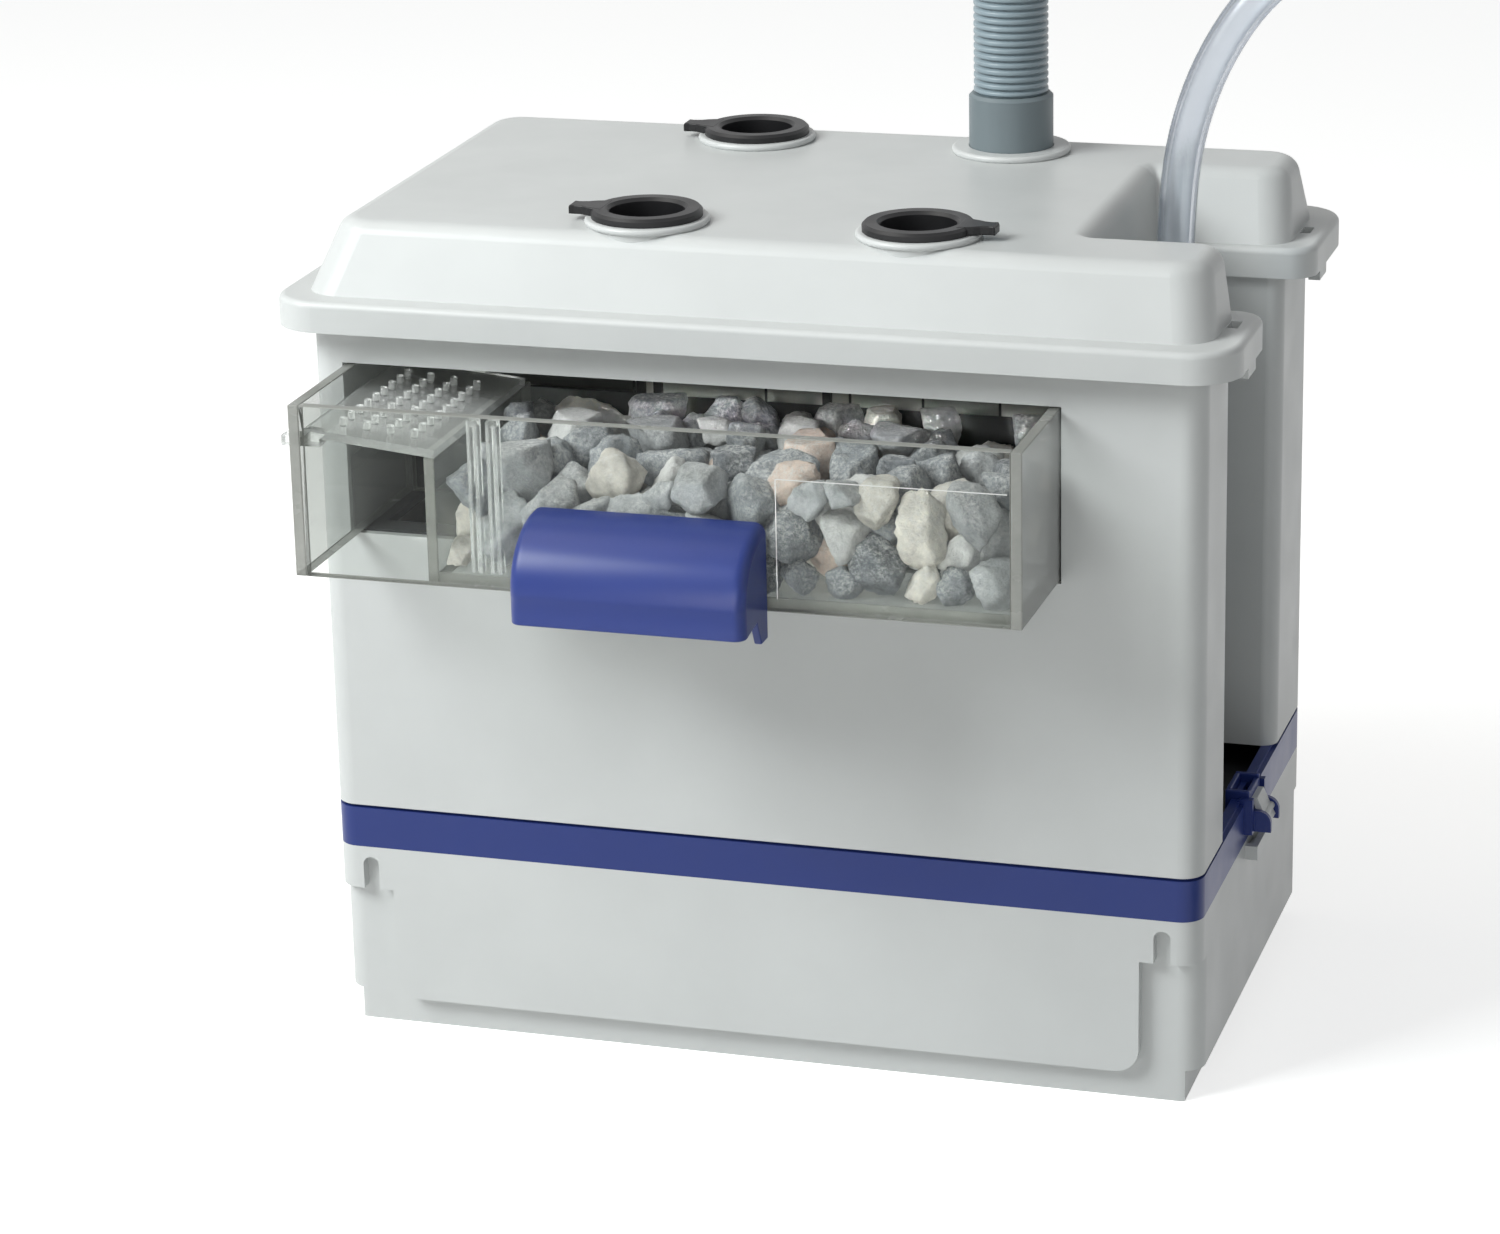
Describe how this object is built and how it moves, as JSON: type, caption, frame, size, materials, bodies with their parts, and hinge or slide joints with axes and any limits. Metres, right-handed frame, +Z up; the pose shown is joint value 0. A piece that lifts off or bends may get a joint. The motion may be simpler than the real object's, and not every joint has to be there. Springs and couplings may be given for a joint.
{
  "type": "condensate lifting pump with neutralising drawer",
  "caption": "Box-shaped condensate lifting pump with a pull-out drawer of neutralising marble chips, a notched lid with plugged inlets, a float-switched pump and a discharge hose.",
  "frame": {"origin": "on the floor, at the middle of the unit's box with its drawer standing open (the free hoses left out)", "axes": "+X to the right along the front, +Y to the back, +Z up"},
  "size_m": [0.5735, 0.2954, 0.404],
  "materials": {
    "grey_plastic": "fine moulded texture, light warm grey",
    "blue_plastic": "smooth dark blue, semi-gloss",
    "black_plastic": "moulded, matt",
    "dark_grey_plastic": "moulded, matt",
    "cream_plastic": "moulded, satin",
    "black_rubber": "matt",
    "hose_grey": "flexible corrugated polyethylene, satin",
    "clear_acrylic": "polished clear acrylic sheet",
    "clear_pvc": "clear flexible PVC, faint blue",
    "marble_chips": "broken marble, dull",
    "motor_metal": "black enamel",
    "steel": "stainless",
    "white_plastic": "moulded, satin",
    "ball_rubber": "smooth"
  },
  "bodies": {
    "casing": {"base_tank": "grey_plastic", "collar": "blue_plastic", "deck_plate": "black_plastic", "upper_housing": "grey_plastic", "drawer_guide": "dark_grey_plastic", "rear_screen": "cream_plastic", "collector_tray": "cream_plastic", "motor": "motor_metal", "pump_volute": "black_plastic", "strainer": "black_plastic", "discharge_pipe": "white_plastic", "check_valve": "white_plastic", "discharge_hose_end": "clear_pvc", "hose_clamp": "steel", "discharge_hose": "clear_pvc", "discharge_coil": "clear_pvc", "float_stem": "black_plastic", "float_switch": "black_plastic", "control_box": "black_plastic", "cable_gland": "black_plastic", "motor_screws": "steel"},
    "drawer": {"drawer_front_wall": "clear_acrylic", "drawer_back_wall": "clear_acrylic", "drawer_left_wall": "clear_acrylic", "drawer_right_wall": "clear_acrylic", "drawer_floor": "clear_acrylic", "drawer_partition": "clear_acrylic", "drawer_ribs": "clear_acrylic", "diffuser_plate": "clear_acrylic", "granulate": "marble_chips", "drawer_handle": "blue_plastic"},
    "lid_unit": {"lid": "grey_plastic", "inlet_cuff": "hose_grey", "inlet_hose": "hose_grey", "inlet_coupling": "hose_grey"},
    "plug_front_left": {"inlet_plug_a": "black_rubber"},
    "plug_back_left": {"inlet_plug_b": "black_rubber"},
    "plug_front_right": {"inlet_plug_c": "black_rubber"},
    "rotor": {"pump_shaft": "steel", "impeller": "black_plastic"},
    "float_ring": {"float": "white_plastic"},
    "valve": {"valve_ball": "ball_rubber"},
    "clip": {"latch_clip": "grey_plastic"}
  },
  "joints": [
    {"name": "drawer_slide", "type": "slide", "parent": "casing", "child": "drawer", "axis": [0, -1, 0], "range_m": [-0.036, 0.04]},
    {"name": "lid_lift", "type": "slide", "parent": "casing", "child": "lid_unit", "axis": [0, 0, 1], "range_m": [0, 0.06]},
    {"name": "plug_front_left_pull", "type": "slide", "parent": "lid_unit", "child": "plug_front_left", "axis": [0, 0, 1], "range_m": [0, 0.03]},
    {"name": "plug_back_left_pull", "type": "slide", "parent": "lid_unit", "child": "plug_back_left", "axis": [0, 0, 1], "range_m": [0, 0.03]},
    {"name": "plug_front_right_pull", "type": "slide", "parent": "lid_unit", "child": "plug_front_right", "axis": [0, 0, 1], "range_m": [0, 0.03]},
    {"name": "pump_spin", "type": "hinge", "parent": "casing", "child": "rotor", "pos_m": [0.02, 0.05985, 0.05], "axis": [0, 0, 1], "continuous": true},
    {"name": "float_rise", "type": "slide", "parent": "casing", "child": "float_ring", "axis": [0, 0, 1], "range_m": [0, 0.024]},
    {"name": "valve_lift", "type": "slide", "parent": "casing", "child": "valve", "axis": [0, 0, 1], "range_m": [0, 0.005]},
    {"name": "clip_swing", "type": "hinge", "parent": "casing", "child": "clip", "pos_m": [0.1433, 0.02585, 0.0675], "axis": [0, 1, 0], "range_deg": [0, 12]}
  ]
}
